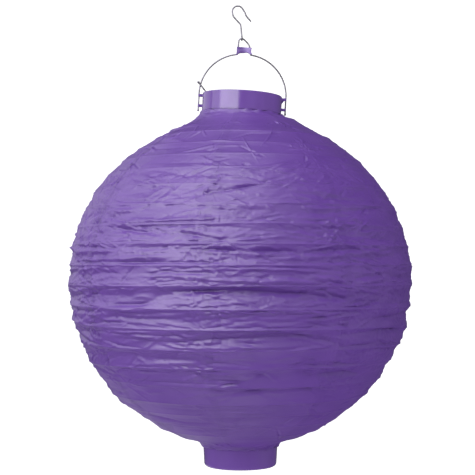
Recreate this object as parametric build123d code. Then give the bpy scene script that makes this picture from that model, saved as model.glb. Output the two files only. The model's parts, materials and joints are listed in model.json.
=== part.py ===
from build123d import *
import os
from math import asin, cos, radians, sin, sqrt

# A round collapsible paper lantern that hangs from a wire S-hook, with a battery light in its base.
# Millimetres. +Z is up, +X is to the right of the bail, and the bail and the S-hook lie in the XZ plane.
# The origin is on the lantern's axis, on the inner side of the hook's crown, where a nail or a line bears.

# Driving dimensions
globe_radius = 150.0
globe_top_half = 143.3          # half height of the upper half's ellipse
globe_bottom_half = 145.5       # half height of the lower half's ellipse
globe_z = -240.6                # centre of the globe below the bearing point
hoop_count = 23
top_hoop_angle = 72.5           # degrees above the equator
bottom_hoop_angle = -75.5
neck_lift = 3.0                 # the paper flares to the collar, so the first hoop is higher
gore_count = 8
first_seam = 33.5               # azimuth of a glued seam, from -Y towards +X, in degrees
wire = 1.4                      # diameter of the bail and hook wire
hoop_wire = 1.0
paper = 0.4                     # wall of the paper with its folds
glue_gap = 0.05

collar_radius = 35.0
collar_wall = 1.6
collar_height = 16.3
skirt_depth = 5.0               # glued under the paper
skirt_step = 0.8
collar_z = -94.0                # foot of the visible collar
collar_x = 1.0
hang_tilt = 3.0                 # the collar and bail hang this far askew, about Y

bail_radius = 38.4              # from the collar's axis out to each leg
bail_spring_line = 15.8         # height over the collar's foot where each leg turns into its arc
leg_end = 1.0
eye_heights = (5.1, 14.2)

cup_z = -403.2                  # underside of the base
cup_height = 17.6
cup_top_radius = 32.5
cup_bottom_radius = 31.5
cup_edge_radius = 3.0
cup_bore = 29.6
cup_floor = 2.0
cup_skirt = 5.8
deck_z = 13.2
deck_thickness = 1.6

cell_diameter = 10.5            # size AAA
cell_length = 44.5
cell_pitch = 11.2
bay_half_width = 11.3
bay_half_length = 24.6
contact_thickness = 0.35
door_half_width = 12.0
door_thickness = 1.8
door_axis_y = -24.0
door_axis_z = 1.15
door_end_y = 24.4
fit_gap = 0.3                   # round a moving plastic piece

switch_x = 20.0
switch_travel = 2.0

cup_place = Location((0, 0, cup_z))
hang_place = Location((collar_x, 0, collar_z), (0, hang_tilt, 0))


def cylinder(radius, bottom, top, x=0.0, y=0.0):
    return Pos(x, y, (bottom + top) / 2) * Cylinder(radius, top - bottom)


def block(x0, x1, y0, y1, z0, z1):
    middle = Pos((x0 + x1) / 2, (y0 + y1) / 2, (z0 + z1) / 2)
    return middle * Box(x1 - x0, y1 - y0, z1 - z0)


def bar_along_x(radius, x0, x1, y, z):
    return Pos((x0 + x1) / 2, y, z) * Rot(0, 90, 0) * Cylinder(radius, x1 - x0)


def bar_along_y(radius, y0, y1, x, z):
    return Pos(x, (y0 + y1) / 2, z) * Rot(-90, 0, 0) * Cylinder(radius, y1 - y0)


def in_bail_plane(points, y=0.0):
    return [(x, y, z) for x, z in points]


def wire_along(edges, diameter):
    path = Wire(edges)
    section = Plane(path @ 0, z_dir=path % 0) * Circle(diameter / 2)
    return sweep(section, path=path)


# The globe: hoops of wire, evenly spaced along the paper, with the paper glued over them.


def hoop_angle(n):
    step = (top_hoop_angle - bottom_hoop_angle) / (hoop_count - 1)
    return radians(top_hoop_angle - n * step)


def globe_point(n, depth):
    """Radius and height, over the globe's centre, of a point this deep inside the ridge at hoop n."""
    angle = hoop_angle(n)
    half = globe_top_half if angle > 0 else globe_bottom_half
    lift = neck_lift if n == 0 else 0.0
    radius = globe_radius * cos(angle) - depth * cos(angle)
    height = half * sin(angle) + lift - depth * sin(angle)
    return radius, height


def hoop(n):
    radius, height = globe_point(n, paper + glue_gap + hoop_wire / 2)
    return Pos(0, 0, globe_z + height) * Torus(radius, hoop_wire / 2)


def paper_gore(n):
    """One glued panel of the shade: straight between hoops, and open at the collar and the cup."""
    neck = (collar_radius + 1.2, collar_z - globe_z - 2.4)
    foot = (cup_top_radius - 0.65, cup_z + cup_height + 0.2 - globe_z)
    inside = [neck] + [globe_point(k, paper) for k in range(hoop_count)] + [foot]
    outside = [(neck[0] + paper, neck[1])]
    outside += [globe_point(k, 0.0) for k in range(hoop_count)]
    outside += [(foot[0] + paper, foot[1])]
    outline = [(r, 0, globe_z + z) for r, z in inside + outside[::-1]]
    panel = make_face(Polyline(*outline, close=True))
    sweep_angle = 360 / gore_count
    start = first_seam - 90 + n * sweep_angle
    return Rot(0, 0, start) * revolve(panel, Axis.Z, sweep_angle)


# The hanging parts: S-hook, bail, sleeve, collar and the wire catch.

crown_radius = 4.8
crown_x = -2.3
crown_z = -sqrt((crown_radius - wire / 2) ** 2 - crown_x**2)
crown_start = 190               # degrees round the crown, where the stem joins it
crown_end = 33                  # and where the open tail leaves it
hook_eye_radius = 1.7
stem_bend = (0.15, -14.9)
stem_run = 3.5                  # straight lengths beside the crown
tail_run = 4.2
tail_bend = (5.1, -7.4)
tail_end = (9.5, -12.5)
loop_top = (-3.15, 66.35)        # middle of the straight top of the bail's loop, in the collar's frame


def loop_top_in_world():
    x, z = loop_top
    tilt = radians(hang_tilt)
    return collar_x + x * cos(tilt) + z * sin(tilt), collar_z - x * sin(tilt) + z * cos(tilt)


def beside_crown(angle, away):
    """A point on the straight line that leaves the crown at this angle, heading down."""
    turn = radians(angle)
    down = -1 if cos(turn) > 0 else 1
    x = crown_x + crown_radius * cos(turn) - down * away * sin(turn)
    z = crown_z + crown_radius * sin(turn) + down * away * cos(turn)
    return x, z


def s_hook():
    """A wire hook over the bearing point, with a closed eye round the top of the bail's loop."""
    eye_x, wire_z = loop_top_in_world()
    eye_bottom = wire_z - wire - glue_gap
    eye_z = eye_bottom + hook_eye_radius
    stem_foot = (eye_x, eye_z + hook_eye_radius)
    crown = CenterArc((crown_x, crown_z, 0), crown_radius, crown_start, crown_end - crown_start)
    crown = Rot(90, 0, 0) * crown
    stem = [stem_foot, stem_bend, beside_crown(crown_start, stem_run), beside_crown(crown_start, 0)]
    tail = [beside_crown(crown_end, 0), beside_crown(crown_end, tail_run), tail_bend, tail_end]
    lower = FilletPolyline(*in_bail_plane(stem), radius=[1.8, 3.6])
    upper = FilletPolyline(*in_bail_plane(tail), radius=[4.0, 4.0])
    hook = wire_along(lower.edges() + crown.edges() + upper.edges(), wire)
    eye = Pos(eye_x, 0, eye_z) * Rot(0, 90, 0) * Rot(0, 0, 50) * Torus(hook_eye_radius, wire / 2)
    return hook + eye


shoulder_height = 52.0          # where the bail's arcs meet the loop's feet
left_shoulder = -7.7
right_shoulder = 7.0
loop_corners = [(-6.2, 52.2), (-5.7, 66.35), (-1.9, 66.35), (3.9, 61.1), (5.2, 52.2)]
loop_radii = [1.0, 2.5, 3.1, 9.0, 1.1]
tip_radius = 1.0


def bail_arc(side, shoulder):
    """An arc that leaves its leg upright and ends at the loop's foot: both ends and its middle."""
    width = bail_radius - abs(shoulder)
    rise = shoulder_height - bail_spring_line
    radius = (width**2 + rise**2) / (2 * width)
    centre = bail_radius - radius
    half_turn = asin(rise / radius) / 2
    middle = (side * (centre + radius * cos(half_turn)), bail_spring_line + radius * sin(half_turn))
    return [(side * bail_radius, bail_spring_line), middle, (shoulder, shoulder_height)]


def hanger_bail():
    """One wire: up a leg, along the arc, round the loop in its middle, and down the other leg."""
    left_arc = bail_arc(-1, left_shoulder)
    right_arc = bail_arc(1, right_shoulder)
    tips = [(-bail_radius, leg_end), (bail_radius, leg_end)]
    loop = [left_arc[-1]] + loop_corners + [right_arc[-1]]
    edges = []
    edges += Line(*in_bail_plane([tips[0], left_arc[0]])).edges()
    edges += ThreePointArc(*in_bail_plane(left_arc)).edges()
    edges += FilletPolyline(*in_bail_plane(loop), radius=loop_radii).edges()
    edges += ThreePointArc(*in_bail_plane(right_arc[::-1])).edges()
    edges += Line(*in_bail_plane([right_arc[0], tips[1]])).edges()
    bail = wire_along(edges, wire)
    for x, z in tips:
        bail += Pos(x, 0, z) * Sphere(tip_radius)
    return hang_place * bail


sleeve_bottom = 53.4
sleeve_top = 58.6
sleeve_middle = -0.55
sleeve_reach = 11.3             # between the middles of its two round ends
sleeve_wall = 0.3


def loop_sleeve():
    """A short flattened tube over both wires at the neck of the loop."""
    inner_width = wire + 0.1
    outer = SlotCenterToCenter(sleeve_reach, inner_width + 2 * sleeve_wall)
    inner = SlotCenterToCenter(sleeve_reach, inner_width)
    tube = extrude(outer - inner, sleeve_top - sleeve_bottom)
    return hang_place * Pos(sleeve_middle, 0, sleeve_bottom) * tube


eye_half_width = 1.5
eye_half_height = 1.1
eye_lip = 0.45                  # how far the eyes reach past the middle of the leg, which snaps in
eye_edge_radius = 0.6
embed = 0.6                     # how far an eye or web is sunk into the wall
web_drop = 3.8
web_half_width = 0.8
wire_gap = 0.05
rim_radius = 0.6
foot_groove = 0.4               # a step round the collar's foot, where the skirt begins
catch_y = -(eye_half_width + wire / 2 + 0.1)
catch_hole = 9.6
catch_depth = 1.0               # of its blind hole in the collar's wall
catch_end_radius = 1.15


def top_collar():
    """An open plastic ring with a thinner skirt under the paper and two wire eyes on each side."""
    inner = collar_radius - collar_wall
    root = collar_radius - embed
    ring = cylinder(collar_radius, foot_groove, collar_height)
    ring = fillet(ring.edges().group_by(Axis.Z)[-1], rim_radius)
    ring += cylinder(collar_radius - foot_groove, 0, foot_groove)
    ring += cylinder(collar_radius - skirt_step, -skirt_depth, 0)
    for side in (-1, 1):
        for height in eye_heights:
            low, high = height - eye_half_height, height + eye_half_height
            eye = block(root, bail_radius + eye_lip, -eye_half_width, eye_half_width, low, high)
            eye = fillet(eye.edges().filter_by(Axis.Z).group_by(Axis.X)[-1], eye_edge_radius)
            ring += Rot(0, 0, 90 - 90 * side) * eye
    web_top = eye_heights[1]
    web = [(root, web_top - eye_half_height - web_drop), (bail_radius - wire, web_top - eye_half_height)]
    web += [(bail_radius - wire, web_top), (root, web_top)]
    web = make_face(Polyline(*in_bail_plane(web), close=True))
    ring += extrude(web, web_half_width, both=True)
    ring -= cylinder(inner, -skirt_depth - 1, collar_height + 1)
    for side in (-1, 1):
        ring -= cylinder(wire / 2 + wire_gap, 0, collar_height, side * bail_radius)
    hole_radius = wire / 2 + 0.1
    ring -= bar_along_x(hole_radius, -inner - catch_depth, -inner + 1, catch_y, catch_hole)
    return hang_place * ring


def bail_catch():
    """A bent wire: out of a blind hole in the collar, up inside it, over the rim and across the leg."""
    inside = -collar_radius + collar_wall + wire / 2 + 0.4
    points = [
        (-collar_radius + collar_wall - catch_depth + 0.1, catch_hole),
        (inside, catch_hole),
        (inside, collar_height + 1.0),
        (-bail_radius - 0.9, 25.4),
    ]
    route = FilletPolyline(*in_bail_plane(points, catch_y), radius=[1.2, 1.6])
    catch = wire_along(route.edges(), wire)
    end_x, end_z = points[-1]
    catch += Pos(end_x, catch_y, end_z) * Sphere(catch_end_radius)
    return hang_place * catch


# The base: a plastic cup that closes the globe and holds the cells, the switch and the lights.

boss_places = [(x, y) for x in (-22.2, 22.2) for y in (-10.4, 10.4)]
boss_radius = 2.6
screw_hole = 1.15
screw_depth = 7.0
bay_wall = 1.6
end_wall = 1.2
ear_reach = 2.3
pin_radius = 0.65
pin_length = 1.5
opening_half_width = door_half_width + fit_gap
barrel_radius = 1.05
hinge_gap_y = door_axis_y - barrel_radius - fit_gap
ear_height = 3.0
ear_width = 3.6
finger_radius = 4.0
finger_depth = 1.1
pocket_half_width = 3.0         # a shallow pocket in the underside round the switch's slot
pocket_half_length = 5.0
pocket_depth = 0.9
slot_half_width = 1.3
slot_half_length = 2.5


def bottom_cup():
    """Floor with a door opening and a switch slot, bay walls, hinge ears and four screw bosses."""
    cup = Pos(0, 0, cup_height / 2) * Cone(cup_bottom_radius, cup_top_radius, cup_height)
    cup = fillet(cup.edges().group_by(Axis.Z)[0], cup_edge_radius)
    cup += cylinder(cup_top_radius - skirt_step, cup_height, cup_height + cup_skirt)
    cup -= cylinder(cup_bore, cup_floor, cup_height + cup_skirt + 1)
    walls = bay_half_width + bay_wall
    ends = bay_half_length + end_wall
    bay = block(-walls, walls, -ends, ends, cup_floor + 0.6, deck_z)
    bay += block(-walls, -bay_half_width, -ends + 2, ends, cup_floor - 0.2, deck_z)
    bay += block(bay_half_width, walls, -ends + 2, ends, cup_floor - 0.2, deck_z)
    bay -= block(-bay_half_width, bay_half_width, -bay_half_length, bay_half_length, 0, deck_z + 1)
    bay -= block(-opening_half_width, opening_half_width, hinge_gap_y, door_axis_y + 2, 0, cup_floor + 0.6)
    cup += bay & cylinder(cup_bore + 0.5, 0, deck_z)
    opening_end = door_end_y + fit_gap
    cup -= block(-opening_half_width, opening_half_width, hinge_gap_y, opening_end, -1, cup_floor)
    pin_reach = door_half_width + pin_length + fit_gap + 0.1
    pin_hole = bar_along_x(pin_radius + wire_gap, -pin_reach, pin_reach, door_axis_y, door_axis_z)
    for side in (-1, 1):
        ear_middle = side * (opening_half_width + ear_reach / 2)
        cup += Pos(ear_middle, door_axis_y + 0.2, ear_height - 1) * Box(ear_reach, ear_width, 2)
    cup -= pin_hole
    for x, y in boss_places:
        cup += cylinder(boss_radius, cup_floor - 0.5, deck_z, x, y)
        cup -= cylinder(screw_hole, deck_z - screw_depth, deck_z + 1, x, y)
    cup -= cylinder(finger_radius, -1, finger_depth, 0, opening_end)
    pocket = Pos(switch_x, 0, pocket_depth - 2) * Box(2 * pocket_half_width, 2 * pocket_half_length, 4)
    slot = Pos(switch_x, 0, 0) * Box(2 * slot_half_width, 2 * slot_half_length, 3 * cup_floor)
    cup -= pocket
    cup -= slot
    return cup_place * cup


def battery_door():
    """A flat lid with a barrel and two pins along its hinged end, which swings down."""
    bottom = 0.1
    top = bottom + door_thickness
    grip_count, grip_pitch, grip_depth = 5, 1.6, 0.4
    door = block(-door_half_width, door_half_width, door_axis_y, door_end_y, bottom, top)
    door += bar_along_x(barrel_radius, -door_half_width, door_half_width, door_axis_y, door_axis_z)
    reach = door_half_width + pin_length
    door += bar_along_x(pin_radius, -reach, reach, door_axis_y, door_axis_z)
    for n in range(grip_count):
        y = door_end_y - 3 - grip_pitch * n
        door -= block(-5, 5, y - grip_pitch / 4, y + grip_pitch / 4, 0, bottom + grip_depth)
    return cup_place * door


cell_shift = bay_half_length - contact_thickness - cell_length / 2 - 0.02


def cell(side):
    """A dry cell on its side. The two lie head to tail, so that they are in series."""
    z = cup_floor + 0.3 + cell_diameter / 2
    nub = 0.8
    nub_radius = 1.9
    x = side * cell_pitch / 2
    start = side * cell_shift - cell_length / 2
    end = start + cell_length
    if side > 0:
        return cup_place * (bar_along_y(cell_diameter / 2, start, end - nub, x, z)
                            + bar_along_y(nub_radius, end - nub - 0.2, end, x, z))
    return cup_place * (bar_along_y(cell_diameter / 2, start + nub, end, x, z)
                        + bar_along_y(nub_radius, start, start + nub + 0.2, x, z))


def contact_springs():
    """A coil at the flat end of each cell."""
    z = cup_floor + 0.3 + cell_diameter / 2
    wire_radius = 0.25
    room = bay_half_length - contact_thickness - (cell_length / 2 - cell_shift)
    length = room - 2 * wire_radius - 0.1
    coil = Helix(pitch=length / 3, height=length, radius=2.9)
    section = Plane(coil @ 0, z_dir=coil % 0) * Circle(wire_radius)
    spring = sweep(section, path=coil, is_frenet=True)
    solids = []
    for side in (-1, 1):
        y = side * (bay_half_length - contact_thickness - wire_radius - 0.05)
        solids.append(cup_place * Pos(-side * cell_pitch / 2, y, z) * Rot(90 * side, 0, 0) * spring)
    return Compound(solids)


def contact_plates():
    """Two separate tabs at one end of the bay and a bridge across both cells at the other."""
    z = cup_floor + 0.3 + cell_diameter / 2
    low, high = z - 4, z + 4.5
    end = bay_half_length
    face = end - contact_thickness
    tabs = [
        block(-9.8, -1.6, face, end, low, high),
        block(1.6, 9.8, face, end, low, high),
        block(-9.8, 9.8, -end, -face, low, high),
    ]
    return Compound([cup_place * tab for tab in tabs])


def switch_body():
    """The case of a slide switch, standing on the floor over its slot."""
    case = block(switch_x - 2.2, switch_x + 2.2, -4.5, 4.5, cup_floor, cup_floor + 4)
    case -= block(switch_x - 1.2, switch_x + 1.2, -2.6, 2.6, cup_floor - 1, cup_floor + 1.8)
    return cup_place * case


def switch_knob():
    """The slider, stored in its off position."""
    middle = -switch_travel / 2
    knob = block(switch_x - 0.95, switch_x + 0.95, middle - 1.2, middle + 1.2, 0.15, cup_floor + 1.4)
    return cup_place * knob


def light_deck():
    """The disc that closes the cup and carries the board."""
    deck = cylinder(cup_bore - 0.2, deck_z, deck_z + deck_thickness)
    for x, y in boss_places:
        deck -= cylinder(1.3, deck_z - 1, deck_z + deck_thickness + 1, x, y)
    return cup_place * deck


def deck_screws():
    """Four pan-head screws with cross recesses."""
    top = deck_z + deck_thickness
    shank_radius, shank_length = 1.1, 5.0
    head_radius, head_height = 2.0, 1.3
    recess = Box(2.2, 0.5, 0.8)
    solids = []
    for x, y in boss_places:
        screw = cylinder(shank_radius, deck_z - shank_length, top, x, y)
        screw += cylinder(head_radius, top, top + head_height, x, y)
        for turn in (0, 90):
            screw -= Pos(x, y, top + head_height - 0.3) * Rot(0, 0, turn) * recess
        solids.append(cup_place * screw)
    return Compound(solids)


board_thickness = 1.2
board_radius = 16.0
led_ring = 9.0
led_count = 4
led_radius = 2.5
led_flange = 2.9
led_body = 4.2


def led_board():
    bottom = deck_z + deck_thickness
    return cup_place * cylinder(board_radius, bottom, bottom + board_thickness)


def leds():
    """Round 5 mm lamps in a ring on the board."""
    bottom = deck_z + deck_thickness + board_thickness
    solids = []
    for n in range(led_count):
        angle = radians(45 + 360 * n / led_count)
        x, y = led_ring * cos(angle), led_ring * sin(angle)
        lamp = cylinder(led_flange, bottom, bottom + 1, x, y)
        lamp += cylinder(led_radius, bottom, bottom + led_body, x, y)
        lamp += Pos(x, y, bottom + led_body) * Sphere(led_radius)
        solids.append(cup_place * lamp)
    return Compound(solids)


def driver_chip():
    bottom = deck_z + deck_thickness + board_thickness
    return cup_place * block(-2.5, 2.5, -2, 2, bottom, bottom + 1.6)


dome_radius = 21.5
dome_height = 15.5
dome_wall = 1.2
dome_skirt = 3.0


def dome_solid(radius, height, foot):
    """A dome with an upright skirt, from this far under the deck's top."""
    bottom = deck_z + deck_thickness
    spring = bottom + dome_skirt
    bulge = Pos(0, 0, spring) * scale(Sphere(1), (radius, radius, height - dome_skirt))
    bulge = bulge & cylinder(radius + 1, spring, bottom + height + 1)
    return bulge + cylinder(radius, bottom - foot, spring)


def light_dome():
    """A frosted cap over the lamps, resting on the deck."""
    outer = dome_solid(dome_radius, dome_height, 0)
    inner = dome_solid(dome_radius - dome_wall, dome_height - dome_wall, 1)
    return cup_place * (outer - inner)


def save(name, shape):
    export_step(shape, f"parts/{name}.step")


os.makedirs("parts", exist_ok=True)

save("s_hook", s_hook())
save("hanger_bail", hanger_bail())
save("loop_sleeve", loop_sleeve())
save("top_collar", top_collar())
save("bail_catch", bail_catch())
for number in range(hoop_count):
    save(f"hoop_{number + 1:02d}", hoop(number))
for number in range(gore_count):
    save(f"paper_gore_{number + 1}", paper_gore(number))
save("bottom_cup", bottom_cup())
save("battery_door", battery_door())
save("cell_left", cell(-1))
save("cell_right", cell(1))
save("contact_springs", contact_springs())
save("contact_plates", contact_plates())
save("switch_body", switch_body())
save("switch_knob", switch_knob())
save("light_deck", light_deck())
save("deck_screws", deck_screws())
save("led_board", led_board())
save("leds", leds())
save("driver_chip", driver_chip())
save("light_dome", light_dome())
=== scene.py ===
import json
from math import cos, exp, pi, radians, sin

import bpy
import numpy as np
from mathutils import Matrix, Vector, noise


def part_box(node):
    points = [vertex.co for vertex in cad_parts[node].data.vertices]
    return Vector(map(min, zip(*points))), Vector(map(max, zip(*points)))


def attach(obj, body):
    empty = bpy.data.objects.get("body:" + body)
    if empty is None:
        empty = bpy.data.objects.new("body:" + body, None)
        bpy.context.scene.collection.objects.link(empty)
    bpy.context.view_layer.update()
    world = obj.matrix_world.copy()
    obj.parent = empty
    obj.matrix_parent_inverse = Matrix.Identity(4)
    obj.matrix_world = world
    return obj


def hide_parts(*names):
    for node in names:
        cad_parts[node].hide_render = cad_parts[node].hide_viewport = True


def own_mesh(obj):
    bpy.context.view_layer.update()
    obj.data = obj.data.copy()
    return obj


# A hanging paper lantern: crumpled purple paper on wire hoops, a glossy plastic collar and base,
# and a wire bail on an S-hook. Metres, in the part's own frame: +Z up, seen from -Y.

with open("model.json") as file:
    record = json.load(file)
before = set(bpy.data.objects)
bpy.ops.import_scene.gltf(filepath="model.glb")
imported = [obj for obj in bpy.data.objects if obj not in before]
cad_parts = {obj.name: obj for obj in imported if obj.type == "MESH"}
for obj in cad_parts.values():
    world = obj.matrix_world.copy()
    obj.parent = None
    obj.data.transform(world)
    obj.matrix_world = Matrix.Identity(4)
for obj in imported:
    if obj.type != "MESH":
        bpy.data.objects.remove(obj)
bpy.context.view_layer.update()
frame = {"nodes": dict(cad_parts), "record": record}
nodes = frame["nodes"]
hoop_names = sorted(name for name in nodes if name.startswith("hoop_"))
gore_names = sorted(name for name in nodes if name.startswith("paper_gore_"))

# Collar and base
collar_foot = -0.0940            # where the visible collar meets the paper
collar_x = 0.0010                # the collar hangs a little to the right
hang_tilt = radians(3.0)
neck_radius = 0.0352             # of the paper's first row, tucked in under the collar
neck_gap = 0.0011
foot_radius = 0.0326             # of its last row, over the skirt of the base
foot_gap = 0.0007
cup_skirt = 0.0058               # the part of the base that the paper is glued over

# Hoops
hoop_sides = 8
hoop_segments = 180
hoop_wave = 0.0014               # how far a hoop strays up and down as it goes round
paper_clearance = 0.00025        # between a hoop's wire and the paper's ridge
least_flatness = 0.25            # keeps the paper outside the hoops that lie near the poles
top_sway = 0.0030                # the top hoops hang to the right, after the collar
top_sway_hoops = 6
low_sway = -0.0012               # and the lowest a little to the left
low_sway_from = 15
low_sway_hoops = 8

# Gores
columns = 120                    # across one gore
row_pitch = 0.00085
least_rows = 7                   # between two rings
first_seam = radians(33.5 - 90)
seam_overlap = 0.005
seam_lift = 0.00012
lap_start = 0.001
lap_softness = 0.0004
lap_steps = (0.0, 0.1, 0.5, 1.0)     # shares of the overlap

# Slack between two hoops
hoop_pitch = 0.0176
shallowest_pleat = 0.0003
deepest_pleat = 0.0027
pleat_latitude = -0.12           # the deepest pleats are a little below the equator
pleat_spread = 0.42
least_slack, mean_slack, slack_swing = 0.05, 0.55, 0.95
highest_valley, mean_valley, lowest_valley, valley_swing = 0.16, 0.38, 0.72, 0.25
pleat_roundness = 0.9
wire_ridge = 0.0002              # the paper shows each wire as a fine raised line
wire_ridge_width = 0.0008
wire_room = 0.0012               # the paper can't sink in where a wire backs it
wire_slack = 0.0001
held_share = 0.35                # of a fold's height that is left at a wire
held_reach = 0.15                # share of the way to the next wire by which it is back to its full height

# Glued edges at the collar and the base, and the calmer parts of the shade
roll_height = 0.0012
roll_width = 0.0011
pucker_height = 0.0011
pucker_reach = 0.006
calm_start = 0.45                # the lowest part of the globe is pulled smoother by the base's weight
calm_reach = 0.35
calm_share = 0.30
calm_side_share = 0.65           # and the right side was crushed less
calm_side_width = 0.40

# Folds: latitudes are a middle and a spread in degrees, the sizes are ranges
long_fold = {
    "count": 420, "latitude": (-2, 24), "turn": 5,
    "half_length": (0.020, 0.080), "half_width": (0.0016, 0.0042), "height": (0.0006, 0.0020),
}
crease = {
    "count": 3200, "latitude": (5, 25), "turn": 16, "near_seams": 0.35, "seam_spread": 0.016,
    "half_length": (0.004, 0.026), "half_width": (0.0009, 0.0020), "height": (0.0005, 0.0013),
}
crush = {
    "count": 1300, "latitude": (8, 26), "seam_spread": 0.009,
    "half_length": (0.002, 0.008), "half_width": (0.0008, 0.0016), "height": (0.0003, 0.0008),
}
highest_fold = 66                # degrees of latitude
fold_end_width = 0.3             # of the fold's width in its middle
fold_bow = 0.5
fold_steepness = (0.3, 0.7)
bow_margin = 0.03

# The shrunk sleeve, in the collar's own frame: heights are over the collar's foot
sleeve_top = 0.0587
sleeve_bottom = 0.0536
sleeve_rows = 14
sleeve_sides = 72
sleeve_wall = 0.0003
sleeve_middle = -0.0006
sleeve_half_gap = 0.0056         # from its middle to the wire on either side
sleeve_waist = 0.0002
sleeve_end_radius = 0.00108
sleeve_end_swing = 0.00012
sleeve_squareness = 2.2
sleeve_flare = 0.0024
flare_start = 0.45
sleeve_pinch = 0.18
sleeve_top_swing = 0.0001
sleeve_droops = (                # place, half width and depth of each droop of its lower edge
    (-0.0073, 0.0019, 0.0021), (0.0055, 0.0012, 0.0011), (0.0015, 0.0016, -0.0006),
)

# Seeded noise round a ring: where each is drawn from, and how fast it changes
noise_step = 0.83                # between one ring and the next
noise_gain = 1.8
hoop_noise = (3.7, 0.45)
slack_noise = (11.3, 1.5)
valley_noise = (23.9, 1.7)
pucker_noise = (31.7, 5.0)
sleeve_end_noise = (5.1, 1.2)
sleeve_top_noise = (2.2, 1.5)


def wander(ring, angle, seed, reach):
    """Smooth seeded noise round a ring, the same at 0 and 360 degrees, from about -1 to 1."""
    place = Vector((cos(angle) * reach, sin(angle) * reach, ring * noise_step + seed))
    return noise.noise(place) * noise_gain


# Rings that the paper is held by, from the collar down to the base


class Ring:
    def __init__(self, number, radius, height, wire=0.0, stand=0.0, shift=0.0):
        self.number = number
        self.radius = radius
        self.height = height
        self.wire = wire
        self.stand = stand           # from the wire's centre out to the paper
        self.shift = shift           # of its middle towards +X

    def point(self, angle, outward):
        """Radius and height of the ring at this azimuth, moved outward from the wire's centre."""
        slope = (self.height - globe_middle) / globe_radius
        stray = hoop_wave * wander(self.number, angle, *hoop_noise)
        height = self.height + stray + outward * slope
        radius = self.radius + outward * max(least_flatness, 1 - slope * slope) ** 0.5
        return radius, height


class Neck(Ring):
    def point(self, angle, outward):
        x = self.radius * cos(angle)
        return self.radius, self.height - x * sin(hang_tilt)


class Foot(Ring):
    def point(self, angle, outward):
        return self.radius, self.height


def sway(number):
    """How far a hoop hangs towards +X."""
    top = top_sway * max(0.0, 1 - (number - 1) / top_sway_hoops)
    low = low_sway * max(0.0, (number - low_sway_from) / low_sway_hoops)
    return top + low


def wire_rings():
    found = []
    for number, name in enumerate(hoop_names, start=1):
        low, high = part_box(name)
        wire = high.z - low.z
        radius = (high.x - low.x - wire) / 2
        stand = wire / 2 + paper_clearance
        found.append(Ring(number, radius, (low.z + high.z) / 2, wire, stand, sway(number)))
    return found


hoops = wire_rings()
globe_radius = max(hoop.radius for hoop in hoops)
globe_middle = next(hoop.height for hoop in hoops if hoop.radius == globe_radius)
cup_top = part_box("bottom_cup")[1].z
foot_height = cup_top - cup_skirt + foot_gap
neck = Neck(0, neck_radius, collar_foot - neck_gap, shift=collar_x)
foot = Foot(len(hoops) + 1, foot_radius, foot_height)
rings = [neck] + hoops + [foot]


# Folds in the paper. A place on the paper is (along, down): metres round the equator and metres
# below the globe's middle.

randomly = np.random.default_rng(20)
girth = 2 * pi * globe_radius
gore_angle = 2 * pi / len(gore_names)


def round_the_globe(along):
    """The same distance along the equator, between half a girth behind and half a girth ahead."""
    return (along + girth / 2) % girth - girth / 2


class Fold:
    """A straight or slightly bowed crease with one steep side, tapering away at both ends."""

    def __init__(self, along, down, turn, half_length, half_width, height):
        self.along = along
        self.down = down
        self.turn = turn
        self.half_length = half_length
        self.half_width = half_width
        self.height = height
        self.bow = randomly.normal(0, fold_bow) * half_width
        self.steep = randomly.uniform(*fold_steepness)
        self.reach = half_length * abs(sin(turn)) + 2 * half_width

    def lift(self, along, down):
        beside = round_the_globe(along - self.along)
        below = down - self.down
        lengthwise = (beside * cos(self.turn) + below * sin(self.turn)) / self.half_length
        across = below * cos(self.turn) - beside * sin(self.turn)
        taper = np.clip(1 - lengthwise * lengthwise, 0, 1)
        half_width = self.half_width * (fold_end_width + (1 - fold_end_width) * taper)
        across = (across + self.bow * lengthwise * lengthwise) / half_width
        across = np.where(across < 0, -across, across / self.steep)
        return self.height * taper * np.clip(1 - across, 0, 1)


def latitude_down(middle, spread):
    """A random latitude in degrees, turned to metres below the globe's middle."""
    latitude = np.clip(randomly.normal(middle, spread), -highest_fold, highest_fold)
    return -globe_radius * sin(radians(latitude))


def beside_a_seam(spread):
    seam = randomly.integers(len(gore_names)) * gore_angle
    return (first_seam + seam) * globe_radius + randomly.normal(0, spread)


def either_way(low, high):
    return randomly.choice((-1, 1)) * randomly.uniform(low, high)


def sized_fold(along, down, turn, kind):
    half_length = randomly.uniform(*kind["half_length"])
    half_width = randomly.uniform(*kind["half_width"])
    return Fold(along, down, turn, half_length, half_width, either_way(*kind["height"]))


def all_folds():
    """Long folds along the hoops, creases that cross them, and crushed spots beside the seams."""
    folds = []
    for _ in range(long_fold["count"]):
        along = randomly.uniform(0, girth)
        down = latitude_down(*long_fold["latitude"])
        turn = radians(randomly.normal(0, long_fold["turn"]))
        folds.append(sized_fold(along, down, turn, long_fold))
    for _ in range(crease["count"]):
        near_a_seam = randomly.random() < crease["near_seams"]
        along = beside_a_seam(crease["seam_spread"]) if near_a_seam else randomly.uniform(0, girth)
        down = latitude_down(*crease["latitude"])
        turn = radians(randomly.normal(0, crease["turn"]))
        folds.append(sized_fold(along, down, turn, crease))
    for _ in range(crush["count"]):
        along = beside_a_seam(crush["seam_spread"])
        down = latitude_down(*crush["latitude"])
        turn = radians(randomly.uniform(-90, 90))
        folds.append(sized_fold(along, down, turn, crush))
    return folds


# Paper: between two hoops it falls in as a slack pleat, and the folds lie over the pleats


def cell_length(upper, lower):
    return ((upper.radius - lower.radius) ** 2 + (upper.height - lower.height) ** 2) ** 0.5


def cell_rows(upper, lower):
    return max(least_rows, round(cell_length(upper, lower) / row_pitch))


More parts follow.
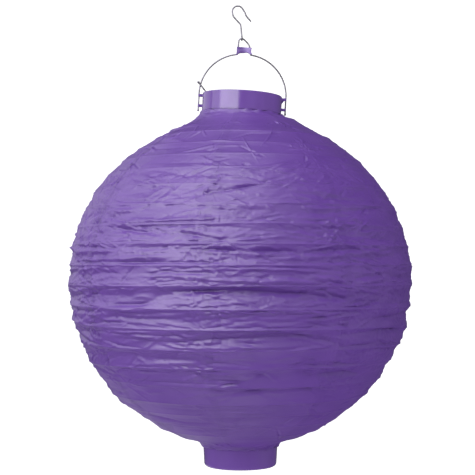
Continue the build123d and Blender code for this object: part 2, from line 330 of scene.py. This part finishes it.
def row_places():
    """For each row of the paper: the ring above, the ring below and the share of the way down.

    The rows stand closer together near the rings.
    """
    places = []
    for upper, lower in zip(rings, rings[1:]):
        count = cell_rows(upper, lower)
        for step in range(count):
            share = step / count
            places.append((upper, lower, share - 0.5 * sin(2 * pi * share) / (2 * pi)))
    places.append((rings[-2], rings[-1], 1.0))
    return places


def column_angles(number, radius):
    """Azimuths across one gore at this radius. The right edge laps over the next gore's left one."""
    start = first_seam + number * gore_angle
    lap = seam_overlap / radius
    inside = [start + gore_angle * column / columns for column in range(columns)]
    return inside + [start + gore_angle + lap * step for step in lap_steps]


def pleat_depth(ring, angle, height):
    """How far the paper falls in between this hoop and the next, at this azimuth."""
    latitude = (height - globe_middle) / globe_radius
    middle = exp(-((latitude - pleat_latitude) / pleat_spread) ** 2)
    slack = mean_slack + slack_swing * wander(ring, angle, *slack_noise)
    return shallowest_pleat + deepest_pleat * middle * max(least_slack, slack)


def paper_row(place, angles):
    """Radius and height of one row's points, their way outward, and how far in the pleat is."""
    upper, lower, share = place
    row = []
    for angle in angles:
        top_radius, top_height = upper.point(angle, upper.stand)
        low_radius, low_height = lower.point(angle, lower.stand)
        across = low_radius - top_radius
        down = top_height - low_height
        length = (across * across + down * down) ** 0.5
        valley = mean_valley + valley_swing * wander(upper.number, angle, *valley_noise)
        valley = min(lowest_valley, max(highest_valley, valley))
        side = share / valley if share < valley else (1 - share) / (1 - valley)
        height = top_height - down * share
        depth = pleat_depth(upper.number, angle, height)
        inward = depth * side ** pleat_roundness * length / hoop_pitch
        nearest = min(share, 1 - share) * length
        inward -= wire_ridge * exp(-((nearest / wire_ridge_width) ** 2))
        row.append((top_radius + across * share, height, down / length, across / length, inward))
    return row


def edge_roll(angles, places):
    """The rolled and puckered edges, where the paper is glued to the collar and to the base."""
    out = np.zeros_like(angles)
    for row, (upper, lower, share) in enumerate(places):
        if upper is neck:
            away = share * cell_length(upper, lower)
        elif lower is foot:
            away = (1 - share) * cell_length(upper, lower)
        else:
            continue
        roll = roll_height * exp(-(((away - roll_width) / roll_width) ** 2))
        fade = exp(-away / pucker_reach)
        for column, angle in enumerate(angles[row]):
            pucker = wander(2 * away / pucker_reach, angle, *pucker_noise)
            out[row, column] = roll + pucker_height * fade * pucker
    return out


def crumple_height(right_edge, folds, angles, down):
    """The folds that reach the gore which ends at this azimuth, added up."""
    along = angles * globe_radius
    crumple = np.zeros_like(down)
    row_down = down.mean(axis=1)
    half_gore = gore_angle * globe_radius / 2
    for fold in folds:
        from_middle = round_the_globe(fold.along - right_edge * globe_radius + half_gore)
        if abs(from_middle) > half_gore + fold.half_length + bow_margin:
            continue
        rows = slice(*np.searchsorted(row_down, (fold.down - fold.reach, fold.down + fold.reach)))
        crumple[rows] += fold.lift(along[rows], down[rows])
    return crumple


def held_by_wires(crumple, places):
    """The crumple made lower towards each wire, and never inward where the wire backs the paper."""
    nearest = np.array([min(share, 1 - share) for _, _, share in places])[:, None]
    length = np.array([cell_length(upper, lower) for upper, lower, _ in places])[:, None]
    crumple = crumple * (held_share + (1 - held_share) * np.clip(nearest / held_reach, 0, 1))
    return np.where(nearest * length < wire_room, np.maximum(crumple, -wire_slack), crumple)


def calmed(crumple, angles, down):
    low = np.clip((down / globe_radius - calm_start) / calm_reach, 0, 1)
    right_side = np.exp(-(((angles + pi) % (2 * pi) - pi) / calm_side_width) ** 2)
    return crumple * (1 - calm_share * low) * (1 - calm_side_share * right_side)


def gore_mesh(number, folds):
    """One glued panel of the shade."""
    right_edge = first_seam + (number + 1) * gore_angle
    places = row_places()
    angles = []
    smooth = []
    for place in places:
        upper, lower, share = place
        row_angles = column_angles(number, upper.radius + (lower.radius - upper.radius) * share)
        angles.append(row_angles)
        smooth.append(paper_row(place, row_angles))
    angles = np.array(angles)
    radius, height, out_radius, out_height, inward = np.moveaxis(np.array(smooth), 2, 0)
    down = globe_middle - height
    past_edge = (angles - right_edge) * radius
    lap = seam_lift / (1 + np.exp(-(past_edge + lap_start) / lap_softness))
    crumple = held_by_wires(crumple_height(right_edge, folds, angles, down), places)
    out = calmed(crumple, angles, down) - inward + lap + edge_roll(angles, places)
    radius = radius + out * out_radius
    height = height + out * out_height
    shift = [upper.shift + (lower.shift - upper.shift) * share for upper, lower, share in places]
    x = radius * np.cos(angles) + np.array(shift)[:, None]
    points = np.stack([x, radius * np.sin(angles), height], axis=2)
    from_left_edge = (angles - right_edge + gore_angle) * radius
    seam = (past_edge > -lap_start / 2) | (from_left_edge < seam_overlap)
    return paper_mesh(f"paper_skin_{number + 1}", points, seam)


def smooth_mesh(name, vertices, faces):
    mesh = bpy.data.meshes.new(name)
    mesh.from_pydata(vertices, [], faces)
    mesh.polygons.foreach_set("use_smooth", [True] * len(faces))
    mesh.update()
    return mesh


def paper_mesh(name, points, seam):
    """A grid of points as a smooth mesh. Its seam attribute is 1 where two layers are glued."""
    rows, across = points.shape[:2]
    corner = (np.arange(rows - 1)[:, None] * across + np.arange(across - 1)).ravel()
    faces = np.stack([corner, corner + across, corner + across + 1, corner + 1], axis=1)
    mesh = smooth_mesh(name, points.reshape(-1, 3).tolist(), faces.tolist())
    attribute = mesh.attributes.new("seam", "FLOAT", "POINT")
    attribute.data.foreach_set("value", seam.ravel().astype(np.float32))
    return mesh


def ring_faces(ring_count, around, closed):
    """Faces that join rings of points in order, and the last ring to the first if closed."""
    faces = []
    for level in range(ring_count if closed else ring_count - 1):
        here = level * around
        after = (level + 1) % ring_count * around
        for side in range(around):
            beside = (side + 1) % around
            faces.append((here + side, after + side, after + beside, here + beside))
    return faces


def hoop_mesh(ring):
    """A round wire bent into the hoop, with the same small waves as the paper over it."""
    vertices = []
    for segment in range(hoop_segments):
        angle = 2 * pi * segment / hoop_segments
        radius, height = ring.point(angle, 0.0)
        for side in range(hoop_sides):
            turn = 2 * pi * side / hoop_sides
            out = radius + ring.wire / 2 * cos(turn)
            up = height + ring.wire / 2 * sin(turn)
            vertices.append((out * cos(angle) + ring.shift, out * sin(angle), up))
    faces = ring_faces(hoop_segments, hoop_sides, closed=True)
    return smooth_mesh(f"hoop_wire_{ring.number:02d}", vertices, faces)


# Sleeve


def sleeve_lower_edge(x):
    """It droops over both wires and is pulled up a little between them."""
    height = sleeve_bottom
    for place, half_width, depth in sleeve_droops:
        height -= depth * exp(-(((x - place) / half_width) ** 2))
    return height


def sleeve_point(turn, down, inset):
    """A place on the sleeve: turn goes round its flat section, down from its top edge to its lower one."""
    half_gap = sleeve_half_gap - sleeve_waist * sin(pi * down)
    end_radius = sleeve_end_radius + sleeve_end_swing * wander(3, turn + 2 * down, *sleeve_end_noise)
    flare = sleeve_flare * max(0.0, down - flare_start) ** 2
    along = max(-1.0, min(1.0, sleeve_squareness * cos(turn)))
    x = sleeve_middle + along * (half_gap + flare) + (end_radius - inset) * cos(turn)
    pinch = 1 - sleeve_pinch * cos(pi * x / (2 * half_gap)) ** 2 if abs(x) < half_gap else 1
    y = (end_radius * pinch - inset) * sin(turn)
    top = sleeve_top + sleeve_top_swing * wander(7, turn, *sleeve_top_noise)
    z = top - (top - sleeve_lower_edge(x)) * down
    return x, y, z


def in_collar_frame(x, y, z):
    """From the collar's own frame, over its foot, to the lantern's."""
    across = collar_x + x * cos(hang_tilt) + z * sin(hang_tilt)
    return across, y, collar_foot - x * sin(hang_tilt) + z * cos(hang_tilt)


def sleeve_mesh():
    """The shrunk sleeve as a closed skin: down its outside and up again inside."""
    levels = [(step / sleeve_rows, 0.0) for step in range(sleeve_rows + 1)]
    levels += [(1 - step / sleeve_rows, sleeve_wall) for step in range(sleeve_rows + 1)]
    vertices = []
    for down, inset in levels:
        for side in range(sleeve_sides):
            turn = 2 * pi * (side + 0.5) / sleeve_sides
            vertices.append(in_collar_frame(*sleeve_point(turn, down, inset)))
    return smooth_mesh("shrunk_sleeve", vertices, ring_faces(len(levels), sleeve_sides, closed=True))


# Materials: the fine wrinkles are bumps, in layers that fade out towards the collar and the base

wrinkle_layers = (               # scale, stretch, strength and depth, from fine to coarse
    (260.0, (0.60, 0.60, 1.1), 0.65, 0.0005),
    (140.0, (0.50, 0.50, 1.2), 0.85, 0.0008),
    (75.0, (0.30, 0.30, 1.5), 0.75, 0.0014),
)
loose_below_collar = (0.012, 0.060)      # where the wrinkles begin, and where they are full
loose_over_base = (0.030, 0.090)


class Surface:
    """A Principled material with a few helpers for its node tree."""

    def __init__(self, name, colour, roughness, metallic=0.0):
        self.material = bpy.data.materials.new(name)
        self.material.use_nodes = True
        self.tree = self.material.node_tree
        self.shader = self.tree.nodes["Principled BSDF"]
        self.place = self.tree.nodes.new("ShaderNodeTexCoord").outputs["Object"]
        self.set("Base Color", (*colour, 1.0))
        self.set("Roughness", roughness)
        self.set("Metallic", metallic)

    def set(self, socket, value):
        self.shader.inputs[socket].default_value = value

    def link(self, source, target):
        self.tree.links.new(source, target)

    def stretched(self, scale):
        mapping = self.tree.nodes.new("ShaderNodeMapping")
        mapping.inputs["Scale"].default_value = scale
        self.link(self.place, mapping.inputs["Vector"])
        return mapping.outputs["Vector"]

    def noise(self, scale, detail, stretch=(1.0, 1.0, 1.0)):
        texture = self.tree.nodes.new("ShaderNodeTexNoise")
        texture.inputs["Scale"].default_value = scale
        texture.inputs["Detail"].default_value = detail
        texture.inputs["Roughness"].default_value = 0.5
        self.link(self.stretched(stretch), texture.inputs["Vector"])
        return texture.outputs["Fac"]

    def ridges(self, scale, stretch):
        """Sharp-edged noise, like the creases of crushed paper."""
        texture = self.tree.nodes.new("ShaderNodeTexNoise")
        texture.noise_type = "RIDGED_MULTIFRACTAL"
        texture.normalize = True
        texture.inputs["Scale"].default_value = scale
        texture.inputs["Detail"].default_value = 2.0
        texture.inputs["Distortion"].default_value = 0.4
        self.link(self.stretched(stretch), texture.inputs["Vector"])
        return texture.outputs["Fac"]

    def along(self, axis):
        """The coordinate of a place on the object along X, Y or Z, in metres."""
        split = self.tree.nodes.new("ShaderNodeSeparateXYZ")
        self.link(self.place, split.inputs["Vector"])
        return split.outputs[axis]

    def product(self, first, second):
        node = self.tree.nodes.new("ShaderNodeMath")
        node.operation = "MULTIPLY"
        self.link(first, node.inputs[0])
        self.link(second, node.inputs[1])
        return node.outputs[0]

    def cells(self, scale):
        texture = self.tree.nodes.new("ShaderNodeTexVoronoi")
        texture.feature = "DISTANCE_TO_EDGE"
        texture.inputs["Scale"].default_value = scale
        self.link(self.place, texture.inputs["Vector"])
        return texture.outputs["Distance"]

    def attribute(self, name):
        node = self.tree.nodes.new("ShaderNodeAttribute")
        node.attribute_name = name
        return node.outputs["Fac"]

    def to_range(self, value, low, high, from_low=0.0, from_high=1.0):
        """The value as a share of the way between the two from numbers, turned to low and high."""
        node = self.tree.nodes.new("ShaderNodeMapRange")
        node.inputs["From Min"].default_value = from_low
        node.inputs["From Max"].default_value = from_high
        node.inputs["To Min"].default_value = low
        node.inputs["To Max"].default_value = high
        self.link(value, node.inputs["Value"])
        return node.outputs["Result"]

    def blend(self, factor, first, second):
        node = self.tree.nodes.new("ShaderNodeMix")
        node.data_type = "RGBA"
        sockets = {s.identifier: s for s in node.inputs}
        self.link(factor, sockets["Factor_Float"])
        for key, colour in (("A_Color", first), ("B_Color", second)):
            if isinstance(colour, tuple):
                sockets[key].default_value = (*colour, 1.0)
            else:
                self.link(colour, sockets[key])
        return next(s for s in node.outputs if s.identifier == "Result_Color")

    def bump(self, height, strength, distance, under=None):
        node = self.tree.nodes.new("ShaderNodeBump")
        node.inputs["Strength"].default_value = strength
        node.inputs["Distance"].default_value = distance
        self.link(height, node.inputs["Height"])
        if under is not None:
            self.link(under, node.inputs["Normal"])
        return node.outputs["Normal"]

    def finish(self, colour=None, roughness=None, normal=None):
        for socket, value in (("Base Color", colour), ("Roughness", roughness), ("Normal", normal)):
            if value is not None:
                self.link(value, self.shader.inputs[socket])
        return self.material


def paper_surface():
    """Thin dyed paper with a little shine, faintly mottled and darker at its glued seams."""
    deep, pale, glued = (0.106, 0.036, 0.276), (0.125, 0.047, 0.306), (0.093, 0.031, 0.245)
    paper = Surface("crumpled_purple_paper", deep, 0.34)
    paper.set("Specular IOR Level", 1.0)
    paper.set("IOR", 1.54)
    mottle = paper.to_range(paper.noise(38.0, 4.0, (1.0, 1.0, 2.2)), 0.0, 1.0, 0.32, 0.68)
    colour = paper.blend(mottle, deep, pale)
    seam = paper.to_range(paper.attribute("seam"), 0.0, 0.35)
    colour = paper.blend(seam, colour, glued)
    shine = paper.to_range(paper.noise(90.0, 3.0), 0.36, 0.49)
    height = paper.along("Z")
    below_collar = [collar_foot - distance for distance in loose_below_collar]
    over_base = [foot_height + distance for distance in loose_over_base]
    loose = paper.product(
        paper.to_range(height, 0.0, 1.0, *below_collar), paper.to_range(height, 0.0, 1.0, *over_base),
    )
    normal = paper.bump(paper.noise(1500.0, 3.0, (1.0, 1.0, 0.6)), 0.10, 0.0002)
    for scale, stretch, strength, depth in wrinkle_layers:
        wrinkles = paper.product(paper.ridges(scale, stretch), loose)
        normal = paper.bump(wrinkles, strength, depth, normal)
    return paper.finish(colour, shine, normal)


def purple_plastic():
    """Moulded glossy plastic with faint upright flow lines and handling marks."""
    plastic = Surface("glossy_purple_plastic", (0.152, 0.071, 0.335), 0.2)
    plastic.set("Coat Weight", 0.50)
    plastic.set("Coat Roughness", 0.08)
    tone = plastic.to_range(plastic.noise(55.0, 2.0, (1.0, 1.0, 0.15)), 0.0, 1.0, 0.3, 0.7)
    colour = plastic.blend(tone, (0.138, 0.063, 0.305), (0.166, 0.079, 0.365))
    flow = plastic.noise(34.0, 2.0, (1.0, 1.0, 0.12))
    grain = plastic.noise(900.0, 2.0)
    marks = plastic.to_range(plastic.noise(160.0, 4.0), 0.14, 0.26)
    normal = plastic.bump(flow, 0.22, 0.0012, plastic.bump(grain, 0.05, 0.0001))
    return plastic.finish(colour, marks, normal)


def sleeve_plastic():
    """A soft shrunk sleeve, with a painted highlight that makes its colour paler towards the right-hand
    wire.
    """
    sleeve = Surface("shrunk_purple_sleeve", (0.180, 0.090, 0.380), 0.3)
    # Painted highlight: the colour blends from a darker purple on the left to a pale lilac on the right,
    # standing in for the gloss that falls there.
    stretched = sleeve.to_range(sleeve.along("X"), 0.0, 1.0, 0.0015, 0.0065)
    colour = sleeve.blend(stretched, (0.120, 0.058, 0.270), (0.310, 0.220, 0.540))
    ripple = sleeve.noise(320.0, 3.0, (0.5, 1.0, 1.6))
    gloss = sleeve.to_range(ripple, 0.25, 0.40)
    return sleeve.finish(colour, gloss, sleeve.bump(ripple, 0.35, 0.0006))


def wire_steel(name, colour, roughness):
    """Drawn wire or plated sheet: fine lines along Z and duller patches in its skin."""
    steel = Surface(name, colour, roughness, 1.0)
    dull = tuple(0.72 * channel for channel in colour)
    patches = steel.to_range(steel.noise(420.0, 4.0), 0.0, 1.0, 0.35, 0.65)
    skin = steel.blend(patches, colour, dull)
    drawn = steel.noise(1800.0, 2.0, (1.0, 1.0, 0.2))
    gloss = steel.to_range(steel.noise(260.0, 3.0), roughness - 0.08, roughness + 0.12)
    return steel.finish(skin, gloss, steel.bump(drawn, 0.12, 0.0001))


def moulded(name, colour, roughness):
    """Plain plastic, moulded or as a film, with a fine grain."""
    plastic = Surface(name, colour, roughness)
    shade = tuple(0.86 * channel for channel in colour)
    tone = plastic.to_range(plastic.noise(70.0, 3.0), 0.0, 1.0, 0.35, 0.65)
    skin = plastic.blend(tone, colour, shade)
    grain = plastic.noise(1100.0, 2.0)
    gloss = plastic.to_range(plastic.noise(140.0, 3.0), roughness - 0.06, roughness + 0.08)
    return plastic.finish(skin, gloss, plastic.bump(grain, 0.12, 0.0001))


def circuit_board():
    """Green solder mask with paler copper tracks under it."""
    board = Surface("green_circuit_board", (0.015, 0.12, 0.045), 0.32)
    tracks = board.to_range(board.cells(330.0), 1.0, 0.0, 0.02, 0.05)
    skin = board.blend(tracks, (0.012, 0.10, 0.038), (0.035, 0.22, 0.080))
    return board.finish(colour=skin, normal=board.bump(tracks, 0.15, 0.0001))


def clear_epoxy():
    led = Surface("clear_led_epoxy", (0.92, 0.92, 0.88), 0.08)
    led.set("Transmission Weight", 0.55)
    led.set("IOR", 1.5)
    haze = led.to_range(led.noise(400.0, 2.0), 0.05, 0.16)
    return led.finish(roughness=haze)


def frosted_plastic():
    dome = Surface("frosted_dome", (0.86, 0.87, 0.88), 0.45)
    dome.set("Subsurface Weight", 0.25)
    dome.set("Subsurface Radius", (0.004, 0.004, 0.004))
    frost = dome.noise(800.0, 3.0)
    haze = dome.to_range(frost, 0.38, 0.55)
    return dome.finish(roughness=haze, normal=dome.bump(frost, 0.2, 0.0001))


surfaces = {
    "steel_wire": wire_steel("zinc_steel_wire", (0.37, 0.35, 0.42), 0.36),
    "purple_plastic": purple_plastic(),
    "purple_sleeve": sleeve_plastic(),
    "purple_paper": paper_surface(),
    "cell_jacket": moulded("cell_jacket", (0.05, 0.055, 0.06), 0.28),
    "plated_contacts": wire_steel("nickel_contacts", (0.66, 0.63, 0.58), 0.22),
    "black_plastic": moulded("black_plastic", (0.022, 0.022, 0.024), 0.42),
    "white_plastic": moulded("white_plastic", (0.78, 0.78, 0.76), 0.38),
    "screw_steel": wire_steel("screw_steel", (0.56, 0.56, 0.58), 0.3),
    "board_green": circuit_board(),
    "led_clear": clear_epoxy(),
    "frosted_dome": frosted_plastic(),
}


def paint_cad_nodes():
    """Each CAD node that stays gets the surface of its material slot in the record."""
    for entry in frame["record"]["subparts"]:
        mesh = nodes[entry["node"]].data
        mesh.materials.clear()
        mesh.materials.append(surfaces[entry["material_slot"]])


def add_piece(mesh, slot_name, node):
    mesh.materials.append(surfaces[slot_name])
    piece = bpy.data.objects.new(mesh.name, mesh)
    bpy.context.scene.collection.objects.link(piece)
    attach(piece, "lantern")
    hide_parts(node)
    return piece


def add_folding_piece(mesh, slot_name, node):
    """A piece of the shade, with a mesh of its own."""
    piece = add_piece(mesh, slot_name, node)
    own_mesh(piece)


paint_cad_nodes()
folds = all_folds()
for number, name in enumerate(gore_names):
    add_folding_piece(gore_mesh(number, folds), "purple_paper", name)
for ring, name in zip(hoops, hoop_names):
    add_folding_piece(hoop_mesh(ring), "steel_wire", name)
add_piece(sleeve_mesh(), "purple_sleeve", "loop_sleeve")


# Studio: a pale sweep, a wide soft window on the left, narrower lights for the gloss, and fills
# that only lighten the paper's shaded parts

room_light = 0.085
gloss_lights = (                 # name, azimuth and elevation, distance, width, height, power
    ("window", -52, 24, 1.7, 3.2, 2.0, 29.0),
    ("sky", -30, 72, 1.6, 1.5, 1.2, 9.0),
    ("key", -16, 38, 1.5, 0.9, 0.34, 3.4),
    ("side", -38, 15, 1.5, 1.5, 0.3, 4.6),
    ("rear_left", -128, 22, 1.7, 1.5, 1.8, 6.0),
    ("low_rear", -150, -38, 1.8, 1.5, 1.2, 2.4),
)
fill_distance = 1.8
fill_size = 1.5
fill_lights = (                  # name, azimuth and elevation, power
    ("front_fill", 34, 22, 12.0),
    ("right_fill", 82, -4, 13.5),
    ("floor_bounce", -12, -80, 22.0),
    ("left_bounce", -66, -36, 7.0),
    ("rear_fill", 175, 12, 9.0),
)


def sweep_profile():
    """Radius and height of the studio: a floor that bends up into a wall, and a dome over it."""
    floor_z, wall_radius, bend, wall_top, pinhole = -2.2, 2.8, 1.0, 1.0, 0.02
    steps = 16
    profile = [(pinhole, floor_z)]
    for step in range(steps + 1):
        turn = pi / 2 * step / steps
        profile.append((wall_radius - bend + bend * sin(turn), floor_z + bend * (1 - cos(turn))))
    for step in range(steps):
        turn = pi / 2 * step / steps
        profile.append((wall_radius * cos(turn), wall_top + wall_radius * sin(turn)))
    return profile + [(pinhole, wall_top + wall_radius)]


def pale_sweep():
    """The background: it glows evenly, and neither shades the lantern nor shows in its gloss."""
    around = 96
    profile = sweep_profile()
    vertices = []
    for radius, z in profile:
        for place in range(around):
            angle = 2 * pi * place / around
            vertices.append((radius * cos(angle), radius * sin(angle), z))
    mesh = smooth_mesh("pale_sweep", vertices, ring_faces(len(profile), around, closed=False))
    card = Surface("pale_card", (0.93, 0.93, 0.93), 0.9)
    card.set("Emission Color", (1.0, 1.0, 1.0, 1.0))
    card.set("Emission Strength", 0.75)
    mesh.materials.append(card.material)
    sweep = bpy.data.objects.new("pale_sweep", mesh)
    sweep.visible_glossy = False
    sweep.visible_diffuse = False
    sweep.visible_shadow = False
    bpy.context.scene.collection.objects.link(sweep)


def soft_light(name, azimuth, elevation, distance, width, height, power):
    """A rectangular light that faces the lantern. Azimuth 0 is the camera's side, + to its right."""
    light = bpy.data.lights.new(name, "AREA")
    light.shape = "RECTANGLE"
    light.size = width
    light.size_y = height
    light.energy = power
    lamp = bpy.data.objects.new(name, light)
    lamp.visible_camera = False
    bpy.context.scene.collection.objects.link(lamp)
    turn, rise = radians(azimuth), radians(elevation)
    flat = cos(rise) * distance
    middle = Vector((0, 0, globe_middle))
    lamp.location = middle + Vector((flat * sin(turn), -flat * cos(turn), distance * sin(rise)))
    lamp.rotation_euler = (middle - lamp.location).to_track_quat("-Z", "Y").to_euler()
    return lamp


def studio():
    world = bpy.data.worlds.new("soft_white_room")
    world.use_nodes = True
    background = world.node_tree.nodes["Background"]
    background.inputs["Color"].default_value = (1.0, 1.0, 1.0, 1.0)
    background.inputs["Strength"].default_value = room_light
    bpy.context.scene.world = world
    for light in gloss_lights:
        soft_light(*light)
    for name, azimuth, elevation, power in fill_lights:
        lamp = soft_light(name, azimuth, elevation, fill_distance, fill_size, fill_size, power)
        lamp.visible_glossy = False
    bpy.context.scene.view_settings.view_transform = "Standard"


def camera():
    data = bpy.data.cameras.new("camera")
    data.sensor_width = 36.0         # millimetres, like the lens
    data.lens = 94.7
    eye = bpy.data.objects.new("camera", data)
    bpy.context.scene.collection.objects.link(eye)
    eye.location = (-0.0025, -1.1, -0.2304)
    look_at = Vector((-0.0025, 0.0, -0.2034))
    eye.rotation_euler = (look_at - eye.location).to_track_quat("-Z", "Y").to_euler()
    bpy.context.scene.camera = eye


pale_sweep()
studio()
camera()
